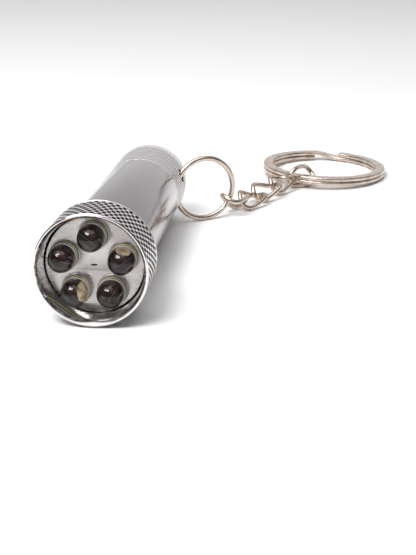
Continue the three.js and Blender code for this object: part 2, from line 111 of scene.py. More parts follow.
SPLIT_LAYER_PITCH = 1.06
SPLIT_STEP_HALF_ANGLE = 12
SPLIT_STEP_BEARING = 88
SPLIT_END_CLEARANCE = 1.5

# The plating is flaked and the mouth's lip darkened between these radii, the lip by wear and by painted dark
# reflection, and the plate's worn edge is this wide.
FLAKED_RIM = (9.3, 10.36)
MOUTH_LIP = (9.88, 10.34)
PLATE_WORN_EDGE = 0.42
BARE_BRASS = (0.22, 0.10, 0.035)

# How far rounded shapes stay inside the CAD where it has facets.
FACET_ALLOWANCE = 0.01

# ---- Frames ----

AXIS = Vector(JOINTS["cap_turn"]["axis"]).normalized()
ON_AXIS = Vector(JOINTS["head_turn"]["pos_m"])
FRONT = ON_AXIS + AXIS * (Vector(MOUNTS["front_rim"]["pos_m"]) - ON_AXIS).dot(AXIS)


def axes_matrix(x, y, z, origin):
    """From a piece's own millimetres to the row frame's metres."""
    turn = Matrix((x, y, z)).transposed().to_4x4()
    return Matrix.Translation(origin) @ turn @ Matrix.Scale(MM, 4)


SIDE = Vector((1, 0, 0))
TORCH = axes_matrix(SIDE, AXIS, SIDE.cross(AXIS), FRONT)


def corners_of(node):
    """The distinct vertices of a CAD node, in the row frame, in metres."""
    co = np.array([v.co for v in frame["nodes"][node].data.vertices], float)
    return np.unique(co.round(7), axis=0)


def span(node, sides=48):
    """Where a turned CAD node lies in the torch frame: stations and true radii, in millimetres."""
    back = np.array(TORCH.inverted())
    p = corners_of(node) @ back[:3, :3].T + back[:3, 3]
    radius = np.hypot(p[:, 0], p[:, 2]) * math.cos(math.pi / sides)
    return SimpleNamespace(front=p[:, 1].min(), back=p[:, 1].max(), inner=radius.min(), outer=radius.max())


def principal_frame(node):
    """A frame on the middle of a CAD node, with X along its length and Z across its thinnest way."""
    p = corners_of(node)
    _, vectors = np.linalg.eigh(np.cov((p - p.mean(0)).T))
    x, y = vectors[:, 2], vectors[:, 1]
    z = np.cross(x, y)
    basis = np.array([x, y, z])
    reach = p @ basis.T
    middle = (reach.min(0) + reach.max(0)) / 2 @ basis
    return Vector(x), Vector(y), Vector(z), Vector(middle)


# ---- Mesh helpers ----


def smoothstep(low, high, x):
    t = np.clip((np.asarray(x, float) - low) / (high - low), 0, 1)
    return t * t * (3 - 2 * t)


def build(name, verts, faces, matrix, strand=None, sharp=60):
    """A mesh from points in a piece's own millimetres, placed in the row frame. Its point attribute
    part_mm keeps those millimetres for the materials, and strand keeps lengths along a wire."""
    mesh = bpy.data.meshes.new(name)
    mesh.from_pydata(np.asarray(verts, float).tolist(), [], faces)
    own = mesh.attributes.new("part_mm", "FLOAT_VECTOR", "POINT")
    own.data.foreach_set("vector", np.asarray(verts, np.float32).ravel())
    if strand is not None:
        along = mesh.attributes.new("strand", "FLOAT_VECTOR", "POINT")
        along.data.foreach_set("vector", np.asarray(strand, np.float32).ravel())
    mesh.transform(matrix)
    mesh.shade_smooth()
    mesh.set_sharp_from_angle(angle=math.radians(sharp))
    obj = bpy.data.objects.new(name, mesh)
    bpy.context.scene.collection.objects.link(obj)
    return obj


def own_places(mesh, matrix):
    """Where a mesh's points lie in a piece's own millimetres."""
    co = np.zeros(len(mesh.vertices) * 3, np.float32)
    mesh.vertices.foreach_get("co", co)
    back = np.array(matrix.inverted())
    return co.reshape(-1, 3).astype(float) @ back[:3, :3].T + back[:3, 3]


def soften(corners, closed=True, steps=4):
    """An outline of (radius, station, rounding) corners with each corner rounded off."""
    out = []
    count = len(corners)
    for i, corner in enumerate(corners):
        p = np.array(corner[:2], float)
        rounding = corner[2] if len(corner) > 2 else 0.06
        if rounding == 0 or (not closed and i in (0, count - 1)):
            out.append(p)
            continue
        before = np.array(corners[i - 1][:2], float) - p
        after = np.array(corners[(i + 1) % count][:2], float) - p
        reach = min(rounding, 0.45 * np.linalg.norm(before), 0.45 * np.linalg.norm(after))
        start = p + before / np.linalg.norm(before) * reach
        end = p + after / np.linalg.norm(after) * reach
        for k in range(steps + 1):
            u = k / steps
            out.append((1 - u) ** 2 * start + 2 * u * (1 - u) * p + u * u * end)
    return np.array(out)


def turned(name, outline, matrix=TORCH, segments=144, closed=True, relief=None, sharp=60):
    """A solid turned about its frame's Y axis from an outline of (radius, station) points. relief
    gives how far each point of the wall lies below the turned surface."""
    radius = np.repeat(outline[:, :1], segments, axis=1)
    station = np.repeat(outline[:, 1:2], segments, axis=1)
    angle = np.tile(np.arange(segments) * TAU / segments, (len(outline), 1))
    if relief is not None:
        radius = radius - relief(angle, station, radius)
    grid = np.stack([radius * np.cos(angle), station, radius * np.sin(angle)], axis=-1)
    faces = []
    rows = len(outline)
    if closed:
        verts = grid.reshape(-1, 3)
        for i in range(rows):
            a, b = i * segments, (i + 1) % rows * segments
            faces += [(a + j, a + (j + 1) % segments, b + (j + 1) % segments, b + j) for j in range(segments)]
        return build(name, verts, oriented(verts, faces), matrix, sharp=sharp)
    verts = np.vstack([grid[0, :1], grid[1:-1].reshape(-1, 3), grid[-1, :1]])
    last = len(verts) - 1
    for j in range(segments):
        k = (j + 1) % segments
        faces.append((0, 1 + k, 1 + j))
        base = 1 + (rows - 3) * segments
        faces.append((last, base + j, base + k))
    for i in range(rows - 3):
        a, b = 1 + i * segments, 1 + (i + 1) * segments
        faces += [(a + j, a + (j + 1) % segments, b + (j + 1) % segments, b + j) for j in range(segments)]
    return build(name, verts, oriented(verts, faces), matrix, sharp=sharp)


def oriented(verts, faces):
    """The faces turned outwards, which the sign of the enclosed volume tells."""
    verts = np.asarray(verts, float)
    total = 0.0
    for face in faces:
        for i in range(1, len(face) - 1):
            a, b, c = verts[face[0]], verts[face[i]], verts[face[i + 1]]
            total += a[0] * (b[1] * c[2] - b[2] * c[1]) - a[1] * (b[0] * c[2] - b[2] * c[0])
            total += a[2] * (b[0] * c[1] - b[1] * c[0])
    return faces if total > 0 else [tuple(reversed(face)) for face in faces]


def swept(name, points, normals, section, matrix, closed=False, scale=None, sharp=60):
    """A section of (along normal, along binormal) points swept along a line of points."""
    points = np.asarray(points, float)
    count, sides = len(points), len(section)
    if closed:
        tangent = np.roll(points, -1, axis=0) - np.roll(points, 1, axis=0)
    else:
        tangent = np.gradient(points, axis=0)
    tangent /= np.linalg.norm(tangent, axis=1)[:, None]
    normal = normals - (normals * tangent).sum(1)[:, None] * tangent
    normal /= np.linalg.norm(normal, axis=1)[:, None]
    binormal = np.cross(tangent, normal)
    scale = np.ones(count) if scale is None else scale
    section = np.asarray(section, float)
    offset = section[None, :, :1] * normal[:, None, :] + section[None, :, 1:] * binormal[:, None, :]
    verts = (points[:, None, :] + offset * scale[:, None, None]).reshape(-1, 3)
    step = np.linalg.norm(np.diff(points, axis=0), axis=1)
    length = np.concatenate([[0], np.cumsum(step)])
    around = np.arange(sides) / sides
    strand = np.stack([np.repeat(length, sides), np.tile(around, count), np.zeros(count * sides)], axis=1)
    faces = []
    for i in range(count if closed else count - 1):
        a, b = i * sides, (i + 1) % count * sides
        faces += [(a + j, a + (j + 1) % sides, b + (j + 1) % sides, b + j) for j in range(sides)]
    if not closed:
        faces.append(tuple(reversed(range(sides))))
        faces.append(tuple(range((count - 1) * sides, count * sides)))
    return build(name, verts, oriented(verts, faces), matrix, strand=strand, sharp=sharp)


def round_section(radius, sides=18):
    return [(radius * math.cos(TAU * i / sides), radius * math.sin(TAU * i / sides)) for i in range(sides)]


# ---- Material helpers ----


class Shader:
    """A node material with one Principled shader, and short calls for the nodes that feed it."""

    def __init__(self, name, base=(0.5, 0.5, 0.5), metallic=0.0, roughness=0.5, **sockets):
        self.material = bpy.data.materials.new(name)
        self.material.use_nodes = True
        self.tree = self.material.node_tree
        self.bsdf = self.tree.nodes["Principled BSDF"]
        self.set("Base Color", (*base, 1))
        self.set("Metallic", metallic)
        self.set("Roughness", roughness)
        for socket, value in sockets.items():
            self.set(socket.replace("_", " "), value)

    def set(self, socket, value):
        self.bsdf.inputs[socket].default_value = value

    def node(self, kind, **inputs):
        made = self.tree.nodes.new(kind)
        for key, value in inputs.items():
            self.feed(made.inputs[key.replace("_", " ")], value)
        return made

    def feed(self, socket, value):
        if isinstance(value, bpy.types.NodeSocket):
            self.tree.links.new(value, socket)
        else:
            socket.default_value = value

    def into(self, socket, value):
        self.feed(self.bsdf.inputs[socket], value)

    def attribute(self, name):
        found = self.tree.nodes.new("ShaderNodeAttribute")
        found.attribute_name = name
        return found.outputs["Vector"]

    def math(self, operation, a, b=0.0, c=0.0):
        made = self.tree.nodes.new("ShaderNodeMath")
        made.operation = operation
        for socket, value in zip(made.inputs, (a, b, c)):
            self.feed(socket, value)
        return made.outputs[0]

    def stretched(self, vector, scale):
        made = self.node("ShaderNodeMapping", Vector=vector)
        made.inputs["Scale"].default_value = scale
        return made.outputs[0]

    def noise(self, vector, scale, detail=3.0, roughness=0.55):
        made = self.node("ShaderNodeTexNoise", Vector=vector, Scale=scale, Detail=detail, Roughness=roughness)
        return made.outputs["Fac"]

    def parts(self, vector):
        """A vector's X, Y and Z."""
        return self.node("ShaderNodeSeparateXYZ", Vector=vector).outputs

    def ring_distance(self, vector):
        """How far a point lies from its frame's Y axis."""
        at = self.parts(vector)
        squares = [self.math("POWER", at[k], 2.0) for k in (0, 2)]
        return self.math("SQRT", self.math("ADD", *squares))

    def between(self, value, low, high):
        """1 where a value lies between two bounds, and 0 elsewhere."""
        above = self.math("GREATER_THAN", value, low)
        return self.math("MULTIPLY", above, self.math("LESS_THAN", value, high))

    def ramp(self, value, stops):
        """A colour ramp of (position, colour or grey) stops."""
        made = self.node("ShaderNodeValToRGB", Fac=value)
        band = made.color_ramp.elements
        while len(band) < len(stops):
            band.new(0.5)
        for element, (position, colour) in zip(band, stops):
            element.position = position
            grey = isinstance(colour, (int, float))
            element.color = (colour, colour, colour, 1) if grey else (*colour, 1)
        return made.outputs[0]

    def mix(self, factor, a, b):
        made = self.tree.nodes.new("ShaderNodeMix")
        made.data_type = "RGBA"
        self.feed(made.inputs[0], factor)
        for socket, value in ((made.inputs[6], a), (made.inputs[7], b)):
            self.feed(socket, value if isinstance(value, bpy.types.NodeSocket) else (*value, 1))
        return made.outputs[2]

    def bump(self, height, strength, distance=0.05):
        """distance is in millimetres"""
        made = self.node("ShaderNodeBump", Height=height, Strength=strength, Distance=distance * MM)
        self.into("Normal", made.outputs[0])


def scaled(colour, factor):
    return tuple(min(1, factor * c) for c in colour)


def knurled_metal(name, light, dark, roughness, grain, dullness, flaked=None):
    """Plated metal whose knurl pits carry painted shade: darker and less metallic the deeper the point attribute
    pit says they are. flaked gives the radii between which its plating has come off in flakes, most of all on the
    lip of the mouth, where the darkening is partly worn plating and partly painted dark reflection, more towards
    the top."""
    s = Shader(name, metallic=1.0, Specular_IOR_Level=0.05)
    place = s.attribute("part_mm")
    pit = s.parts(s.attribute("pit"))[0]
    cloud = s.noise(place, 0.9, 4)
    tint = s.mix(s.ramp(cloud, [(0.35, 0.0), (0.7, 1.0)]), light, scaled(light, 0.86))
    # Painted shade in the knurl pits, darker and less metallic the deeper the pit; the flakes and the lip are
    # added below.
    shade_and_wear = s.ramp(pit, [(0.08, 0.0), (0.3, 1.0)])
    if flaked:
        out = s.ring_distance(place)
        broken = s.noise(place, 2.2, 5, 0.7)
        flakes = s.ramp(broken, [(0.585, 0.0), (0.61, 1.0)])
        shade_and_wear = s.math("MAXIMUM", shade_and_wear, s.math("MULTIPLY", s.between(out, *flaked), flakes))
        # The mouth's lip is darkened in broken patches, more towards the top: partly worn plating with bared
        # brass, partly painted dark reflection.
        lip = s.between(out, *MOUTH_LIP)
        wear_and_sheen = s.ramp(s.math("MULTIPLY_ADD", s.parts(place)[2], 0.014, broken), [(0.53, 0.0), (0.56, 1.0)])
        shade_and_wear = s.math("MAXIMUM", shade_and_wear, s.math("MULTIPLY", lip, wear_and_sheen))
        bared = s.math("MULTIPLY", lip, s.ramp(cloud, [(0.5, 0.0), (0.6, 1.0)]))
        dark = s.mix(bared, dark, BARE_BRASS)
    s.into("Base Color", s.mix(shade_and_wear, tint, dark))
    s.into("Metallic", s.math("MULTIPLY_ADD", shade_and_wear, -dullness, 1.0))
    fine = s.noise(place, grain, 3)
    smooth = s.math("MULTIPLY_ADD", fine, 0.16, roughness - 0.06)
    s.into("Roughness", s.math("MULTIPLY_ADD", shade_and_wear, 0.4, smooth))
    s.bump(fine, 0.12, 0.02)
    return s.material


def satin_metal(name, colour, roughness):
    """Anodised metal with faint turning marks round the axis."""
    s = Shader(name, metallic=1.0)
    place = s.attribute("part_mm")
    rings = s.noise(s.stretched(place, (0.2, 14.0, 0.2)), 1.0, 3)
    cloud = s.noise(place, 0.25, 3)
    grain = s.noise(place, 26, 2)
    s.into("Base Color", s.mix(cloud, scaled(colour, 0.94), scaled(colour, 1.05)))
    wear_and_sheen = s.math("MULTIPLY_ADD", rings, 0.05, roughness - 0.025)
    s.into("Roughness", s.math("MULTIPLY_ADD", grain, 0.04, wear_and_sheen))
    s.bump(grain, 0.03, 0.01)
    return s.material


def plate_metal():
    """Metallised plastic: bright, faintly brushed, with dark specks and one short scratch."""
    s = Shader("plate_metal_look", metallic=1.0)
    place = s.attribute("part_mm")
    brushed = s.noise(s.stretched(place, (0.5, 1.0, 7.0)), 1.6, 4)
    cloud = s.noise(place, 0.35, 3)
    spots = s.noise(place, 1.7, 4, 0.7)
    specks = s.ramp(spots, [(0.66, 0.0), (0.68, 1.0)])
    at_edge = s.math("GREATER_THAN", s.ring_distance(place), PLATE_EDGE_RADIUS - PLATE_WORN_EDGE)
    edge = s.math("MULTIPLY", s.ramp(spots, [(0.58, 0.0), (0.6, 1.0)]), at_edge)
    specks = s.math("MAXIMUM", specks, edge)
    scratch = s.node("ShaderNodeMapping", Vector=place)
    scratch.inputs["Location"].default_value = (0.05, -PLATE_STATION, 0.05)
    at = s.parts(s.stretched(scratch.outputs[0], (1.1, 0.0, 4.0)))
    reach = s.math("ADD", s.math("POWER", at[0], 2.0), s.math("POWER", at[2], 2.0))
    rough_edge = s.math("MULTIPLY_ADD", s.noise(place, 6, 3), 0.9, reach)
    mark = s.ramp(s.math("MULTIPLY", rough_edge, 0.5), [(0.5, 1.0), (0.56, 0.0)])
    dirt = s.math("MAXIMUM", specks, mark)
    silver = s.mix(s.ramp(cloud, [(0.35, 0.0), (0.65, 1.0)]), (0.38, 0.36, 0.355), (0.48, 0.465, 0.46))
    s.into("Base Color", s.mix(dirt, silver, (0.03, 0.025, 0.025)))
    s.into("Roughness", s.math("MULTIPLY_ADD", brushed, 0.08, 0.24))
    s.bump(brushed, 0.015, 0.02)
    return s.material


def clear_epoxy():
    """Clear moulded epoxy with faint flow lines."""
    s = Shader("led_clear_look", base=(0.97, 0.95, 0.93), roughness=0.015, IOR=1.42, Transmission_Weight=1.0)
    place = s.attribute("part_mm")
    flow = s.noise(s.stretched(place, (0.6, 0.3, 0.6)), 1.0, 2)
    s.into("Base Color", s.mix(flow, (0.95, 0.92, 0.89), (1.0, 0.99, 0.98)))
    s.bump(flow, 0.02, 0.05)
    return s.material


def phosphor():
    s = Shader("phosphor_look", roughness=0.6)
    place = s.attribute("part_mm")
    grain = s.noise(place, 9, 4)
    s.into("Base Color", s.mix(grain, (0.60, 0.56, 0.27), (0.76, 0.73, 0.46)))
    s.bump(grain, 0.3, 0.03)
    return s.material


def painted_lamp_shade(name, streak_turn, reflection_cut=None):
    """Painted shade and painted reflections for what shows through the clear body: dark brown painted shade, pale
    painted reflection streaks, which lie at streak_turn degrees, and on some a cream painted reflection on one
    side, which is smaller the higher the last argument is."""
    s = Shader(name, roughness=0.3, Specular_IOR_Level=0.08)
    place = s.attribute("part_mm")
    cloud = s.noise(place, 0.9, 2)
    turn = s.node("ShaderNodeMapping", Vector=place)
    turn.inputs["Rotation"].default_value = (0, math.radians(streak_turn), 0)
    streak = s.noise(s.stretched(turn.outputs[0], (0.3, 0.3, 1.5)), 1.0, 1)
    # Painted shade: near black browns.
    browns = [(0.3, (0.004, 0.002, 0.003)), (0.6, (0.022, 0.011, 0.011)), (0.8, (0.07, 0.038, 0.03))]
    dark = s.ramp(cloud, browns)
    # Painted reflection: pale streaks.
    lit = s.ramp(streak, [(0.56, 0.0), (0.585, 0.8), (0.61, 0.05), (0.75, 0.0)])
    colour = s.mix(lit, dark, (0.24, 0.19, 0.18))
    # Painted reflection: a cream patch on one side of some lamps.
    if reflection_cut is not None:
        at = s.parts(turn.outputs[0])
        side = s.math("MULTIPLY_ADD", s.noise(place, 1.0, 1), 1.2, s.math("ADD", at[0], at[2]))
        side = s.math("MULTIPLY", side, 0.25)
        mottle = s.ramp(s.noise(place, 1.3, 2), [(0.42, 0.0), (0.62, 1.0)])
        painted_cream_reflection = s.mix(mottle, (0.62, 0.51, 0.36), (0.26, 0.18, 0.10))
        colour = s.mix(s.ramp(side, [(reflection_cut, 0.0), (reflection_cut + 0.05, 1.0)]), colour, painted_cream_reflection)
    s.into("Base Color", colour)
    s.bump(cloud, 0.2, 0.05)
    return s.material


def wire_metal(name, light, warm, roughness):
    """Nickel-plated wire: drawing marks along its length, and a warm tint that comes and goes."""
    s = Shader(name, metallic=1.0)
    strand = s.attribute("strand")
    place = s.attribute("part_mm")
    drawn = s.noise(s.stretched(strand, (0.35, 16.0, 1.0)), 1.0, 4)
    cloud = s.noise(place, 0.55, 4)
    s.into("Base Color", s.mix(s.ramp(cloud, [(0.3, 0.0), (0.72, 1.0)]), light, warm))
    s.into("Roughness", s.math("MULTIPLY_ADD", drawn, 0.12, roughness - 0.04))
    s.bump(drawn, 0.05, 0.01)
    return s.material


def moulded(name, colour, roughness, grain=14, strength=0.25):
    """Moulded plastic or rubber with a fine grain."""
    s = Shader(name, roughness=roughness)
    place = s.attribute("part_mm")
    fine = s.noise(place, grain, 3)
    cloud = s.noise(place, 0.6, 3)
    s.into("Base Color", s.mix(cloud, scaled(colour, 0.82), scaled(colour, 1.15)))
    s.into("Roughness", s.math("MULTIPLY_ADD", fine, 0.2, roughness - 0.1))
    s.bump(fine, strength, 0.03)
    return s.material


def circuit_board():
    s = Shader("board_look", roughness=0.35)
    place = s.attribute("part_mm")
    copper = s.node("ShaderNodeTexBrick", Vector=s.stretched(place, (0.45, 0.45, 0.45)), Scale=1.0)
    copper.inputs["Mortar Size"].default_value = 0.04
    weave = s.noise(place, 8, 2)
    green = s.mix(weave, (0.02, 0.13, 0.05), (0.04, 0.21, 0.08))
    s.into("Base Color", s.mix(copper.outputs["Fac"], green, (0.08, 0.30, 0.12)))
    s.bump(copper.outputs["Fac"], 0.2, 0.03)
    return s.material


def floor_paint():
    s = Shader("floor_look", roughness=0.55)
    place = s.node("ShaderNodeTexCoord").outputs["Object"]
    cloud = s.noise(place, 6, 3)
    s.into("Base Color", s.mix(cloud, (0.90, 0.90, 0.90), (0.93, 0.93, 0.93)))
    return s.material


# The second colours are the painted shade of the knurl pits, also used where the plating is flaked.
HEAD_CHROME = knurled_metal(
    "chrome_head_look", (0.74, 0.725, 0.73), (0.006, 0.004, 0.004), 0.10, 12, 1.0, FLAKED_RIM)
TAIL_METAL = knurled_metal("tail_metal_look", (0.86, 0.85, 0.855), (0.22, 0.21, 0.21), 0.22, 14, 0.6)
BARREL_SATIN = satin_metal("satin_barrel_look", (0.292, 0.28, 0.283), 0.12)
PLATE = plate_metal()
EPOXY = clear_epoxy()
PHOSPHOR = phosphor()
# One painted shade and reflection material for each lamp's dark core.
LED_PAINTED_SHADES = [
    painted_lamp_shade("led_painted_shade_look_1", -35),
    painted_lamp_shade("led_painted_shade_look_2", -15),
    painted_lamp_shade("led_painted_shade_look_3", -50, 0.32),
    painted_lamp_shade("led_painted_shade_look_4", 60),
    painted_lamp_shade("led_painted_shade_look_5", 35, 0.5),
]
LED_SHELL = moulded("led_shell_look", (0.85, 0.85, 0.9), 0.25, 9, 0.2)
NICKEL = wire_metal("nickel_wire_look", (0.66, 0.575, 0.51), (0.46, 0.375, 0.32), 0.25)
RING_NICKEL = wire_metal("ring_steel_look", (0.70, 0.61, 0.54), (0.42, 0.335, 0.275), 0.25)
SPRING_STEEL = wire_metal("spring_steel_look", (0.66, 0.65, 0.63), (0.56, 0.55, 0.53), 0.25)
SPRING_BRASS = wire_metal("spring_brass_look", (0.85, 0.68, 0.38), (0.72, 0.55, 0.30), 0.25)
CELL_CAN = satin_metal("cell_can_look", (0.74, 0.74, 0.73), 0.28)
LEAD_FRAME = satin_metal("lead_frame_look", (0.80, 0.78, 0.74), 0.35)
WHITE_PLASTIC = moulded("sleeve_plastic_look", (0.86, 0.85, 0.82), 0.5)
BLACK_PLASTIC = moulded("black_plastic_look", (0.03, 0.03, 0.033), 0.45)
BUTTON_RUBBER = moulded("button_rubber_look", (0.035, 0.035, 0.037), 0.6, 22, 0.4)
SEAL_RUBBER = moulded("seal_rubber_look", (0.02, 0.02, 0.021), 0.5)
BOARD = circuit_board()


def finish_piece(obj, body, material, slot, *nodes):
    obj.data.materials.append(material)
    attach(obj, body)
    if nodes:
        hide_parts(*nodes)
    return obj


# ---- Knurls ----


def diamond(count, row, angle, station):
    """From 0 on a knurl's crossing lines to 1 in the middle of its diamonds, with rounded corners."""
    u = count * angle / TAU
    v = station / (2 * row)
    a, b = u + v, u - v
    return np.maximum(0, 1 - 2 * np.hypot(a - np.floor(a) - 0.5, b - np.floor(b) - 0.5))


def knurl_pits(knurl, angle, station):
    """How deep the knurl's pits are at each point, from 0 to 1."""
    pit = smoothstep(knurl.land, knurl.floor, diamond(knurl.count, knurl.row, angle, station - knurl.first))
    fade = smoothstep(knurl.first, knurl.first + knurl.fade, station)
    return pit * fade * (1 - smoothstep(knurl.last - knurl.fade, knurl.last, station))


def knurl_relief(knurl):
    def relief(angle, station, radius):
        outside = radius > knurl.radius - 0.02
        return np.where(outside, knurl.depth * knurl_pits(knurl, angle, station), 0.0)

    return relief


def mark_pits(obj, knurl, matrix):
    """Stores the knurl's depth as the point attribute pit, from each point's place on the torch."""
    p = own_places(obj.data, matrix)
    radius, station = np.hypot(p[:, 0], p[:, 2]), p[:, 1]
    depth = np.clip((knurl.radius - radius) / knurl.depth, 0, 1)
    wall = (station > knurl.first) & (station < knurl.last) & (radius > knurl.radius - 0.6)
    pit = np.zeros((len(p), 3), np.float32)
    pit[:, 0] = np.where(wall, depth, 0)
    obj.data.attributes.new("pit", "FLOAT_VECTOR", "POINT").data.foreach_set("vector", pit.ravel())


# count and row set the spacing round and along, first and last the stations, and land and floor where
# between the crossing lines and the middle of a diamond a pit begins and is deepest.
HEAD_KNURL = SimpleNamespace(
    radius=HEAD_RADIUS, count=49, row=1.075, first=0.2, last=9.4, fade=0.12, depth=0.11, land=0.1, floor=0.4)
TAIL_KNURL = SimpleNamespace(
    radius=BODY_RADIUS, count=46, row=0.72, first=54.3, last=67.1, fade=0.3, depth=0.2, land=0.16, floor=0.6)


def knurl_line(knurl, step):
    """Outline points along a knurled wall, close enough to carry its pits."""
    count = round((knurl.last - knurl.first) / step)
    return [(knurl.radius, s, 0) for s in np.linspace(knurl.first, knurl.last, count + 1)]


# ---- Head ----


def head_bezel():
    outline = soften([
        (MOUTH_RADIUS, 0.55, 0.1),
        (MOUTH_RADIUS + 0.4, 0, 0.05),
        (HEAD_RADIUS - 0.18, 0.02, 0.06),
        (HEAD_RADIUS, 0.16, 0.04),
        *knurl_line(HEAD_KNURL, 0.1),
        (HEAD_RADIUS - 0.28, 9.52, 0.05),
        (HEAD_RADIUS - 0.28, 9.68, 0.05),
        (HEAD_RADIUS, 9.78, 0.08),
        (HEAD_RADIUS, 10.22, 0.15),
        (HEAD_RADIUS - 0.28, HEAD_LENGTH, 0.15),
        (THREAD_BORE_HEAD, HEAD_LENGTH, 0.12),
        (THREAD_BORE_HEAD, 7.5, 0.05),
        (POCKET_RADIUS, 7.5, 0.05),
        (POCKET_RADIUS, PLATE_STATION + 0.1, 0.05),
    ])
    obj = turned("head_bezel_look", outline, segments=HEAD_KNURL.count * 12, relief=knurl_relief(HEAD_KNURL))
    mark_pits(obj, HEAD_KNURL, TORCH)
    return finish_piece(obj, "head", HEAD_CHROME, "chrome_head", "head_bezel")


def led_places():
    """Where each lamp stands across the torch, from its CAD node: names and frames."""
    back = TORCH.inverted()
    for i in range(1, LED_COUNT + 1):
        name = f"led_{i}"
        low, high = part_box(name)
        middle = back @ ((low + high) / 2)
        angle = math.atan2(middle.z, middle.x)
        x, z = LED_PITCH_RADIUS * math.cos(angle), LED_PITCH_RADIUS * math.sin(angle)
        yield name, i, x, z, TORCH @ Matrix.Translation((x, 0, z))


def circle_points(radius, x, z, count):
    angles = [TAU * i / count for i in range(count)]
    return [(x + radius * math.cos(a), z + radius * math.sin(a)) for a in angles]


def flat_disc_with_holes(name, rim_radius, holes, front, thickness, edge):
    """A disc across the torch with round holes, its edges rounded, filled from its outlines."""
    curve = bpy.data.curves.new(name, "CURVE")
    curve.dimensions = "2D"
    curve.fill_mode = "BOTH"
    curve.extrude = thickness / 2 - edge
    curve.bevel_depth = edge
    curve.bevel_resolution = 2
    curve.offset = -edge
    outlines = [circle_points(rim_radius, 0, 0, 160)]
    outlines += [circle_points(radius, x, z, 64) for radius, x, z in holes]
    for points in outlines:
        spline = curve.splines.new("POLY")
        spline.points.add(len(points) - 1)
        spline.use_cyclic_u = True
        for point, (x, y) in zip(spline.points, points):
            point.co = (x, y, 0, 1)
    shaper = bpy.data.objects.new(name + "_outline", curve)
    bpy.context.scene.collection.objects.link(shaper)
    flat = bpy.data.meshes.new_from_object(shaper.evaluated_get(bpy.context.evaluated_depsgraph_get()))
    bpy.data.objects.remove(shaper)
    verts = np.array([(v.co.x, front + thickness / 2 + v.co.z, v.co.y) for v in flat.vertices])
    faces = [tuple(p.vertices) for p in flat.polygons]
    return verts, faces


def weld(obj, distance):
    """Joins an object's coincident points and faces it outwards."""
    mesh = bmesh.new()
    mesh.from_mesh(obj.data)
    bmesh.ops.remove_doubles(mesh, verts=mesh.verts, dist=distance)
    bmesh.ops.recalc_face_normals(mesh, faces=mesh.faces)
    mesh.to_mesh(obj.data)
    mesh.free()


def reflector_plate():
    holes = [(LED_HOLE_RADIUS, x, z) for _, _, x, z, _ in led_places()]
    verts, faces = flat_disc_with_holes(
        "reflector_plate_look", PLATE_EDGE_RADIUS, holes, PLATE_STATION, PLATE_THICKNESS, 0.08)
    obj = build("reflector_plate_look", verts, faces, TORCH, sharp=40)
    weld(obj, 0.01 * MM)
    finish_piece(obj, "head", PLATE, "plate_metal", "reflector_plate")
    for _, i, _, _, matrix in led_places():
        lip = soften([
            (LED_HOLE_RADIUS, PLATE_STATION + 0.1, 0.05),
            (LED_HOLE_RADIUS, PLATE_STATION - 0.22, 0.08),
            (LED_HOLE_RADIUS + 0.22, PLATE_STATION - 0.22, 0.12),
            (LED_HOLE_RADIUS + 0.34, PLATE_STATION + 0.1, 0.05),
        ])
        collar = turned(f"plate_collar_{i}", lip, matrix, 72)
        finish_piece(collar, "head", PLATE, "plate_metal")


# Outlines inside and round a lamp: (radius, station, rounding).
LED_BAND_OUTLINE = [(2.51, 3.46, 0.02), (2.59, 3.48, 0.03), (2.6, 3.8, 0.03), (2.51, 3.8, 0.02)]
LED_SHELL_OUTLINE = [(2.3, 2.45, 0.03), (2.42, 2.45, 0.05), (2.42, 3.2, 0.05), (2.3, 3.2, 0.03)]
# The dark core inside each lamp is there for painted shade: a real lamp has no such body.
LED_PAINTED_SHADE_OUTLINE = [
    (0, 0.9), (0.8, 1.0, 0.5), (1.35, 1.7, 0.6), (1.45, 3.0, 0.5), (1.9, 4.6, 0.2), (2.25, 5.5, 0.1),
    (0, 5.6),
]


def led(name, i, matrix):
    """A clear lamp: the moulded body with a phosphor band round it, and inside it a pale shell, a dark core that
    carries painted shade and painted reflections, and the two posts of the lead frame."""
    dome = [
        (LED_RADIUS * math.sin(a), LED_DOME_STATION - (LED_RADIUS - FACET_ALLOWANCE) * math.cos(a))
        for a in np.linspace(0, math.pi / 2, 19)
    ]
    flange_end = LED_FLANGE_STATION + 0.88
    body = np.array(dome + [
        (LED_RADIUS, 3.0),
        (LED_RADIUS, LED_FLANGE_STATION - 0.12),
        (LED_RADIUS + 0.04, LED_FLANGE_STATION - 0.03),
        (LED_FLANGE_RADIUS - 0.1, LED_FLANGE_STATION),
        (LED_FLANGE_RADIUS, LED_FLANGE_STATION + 0.1),
        (LED_FLANGE_RADIUS, flange_end - 0.1),
        (LED_FLANGE_RADIUS - 0.1, flange_end),
        (0, flange_end),
    ])
    lens = turned(f"{name}_lens", body, matrix, 72, closed=False)
    finish_piece(lens, "head", EPOXY, "led_clear", name)

    band = turned(f"{name}_band", soften(LED_BAND_OUTLINE), matrix, 64)
    finish_piece(band, "head", PHOSPHOR, "led_clear")
    shell = turned(f"{name}_shell", soften(LED_SHELL_OUTLINE), matrix, 64)
    finish_piece(shell, "head", LED_SHELL, "led_clear")
    painted_shade_core = turned(f"{name}_heart", soften(LED_PAINTED_SHADE_OUTLINE, closed=False), matrix, 64, closed=False)
    finish_piece(painted_shade_core, "head", LED_PAINTED_SHADES[i - 1], "led_clear")

    for side, (width, top) in ((-1, (0.42, 2.2)), (1, (0.6, 1.9))):
        post = lead_post(f"{name}_post_{'a' if side < 0 else 'b'}", side, width, top, matrix)
        finish_piece(post, "head", LEAD_FRAME, "led_clear")


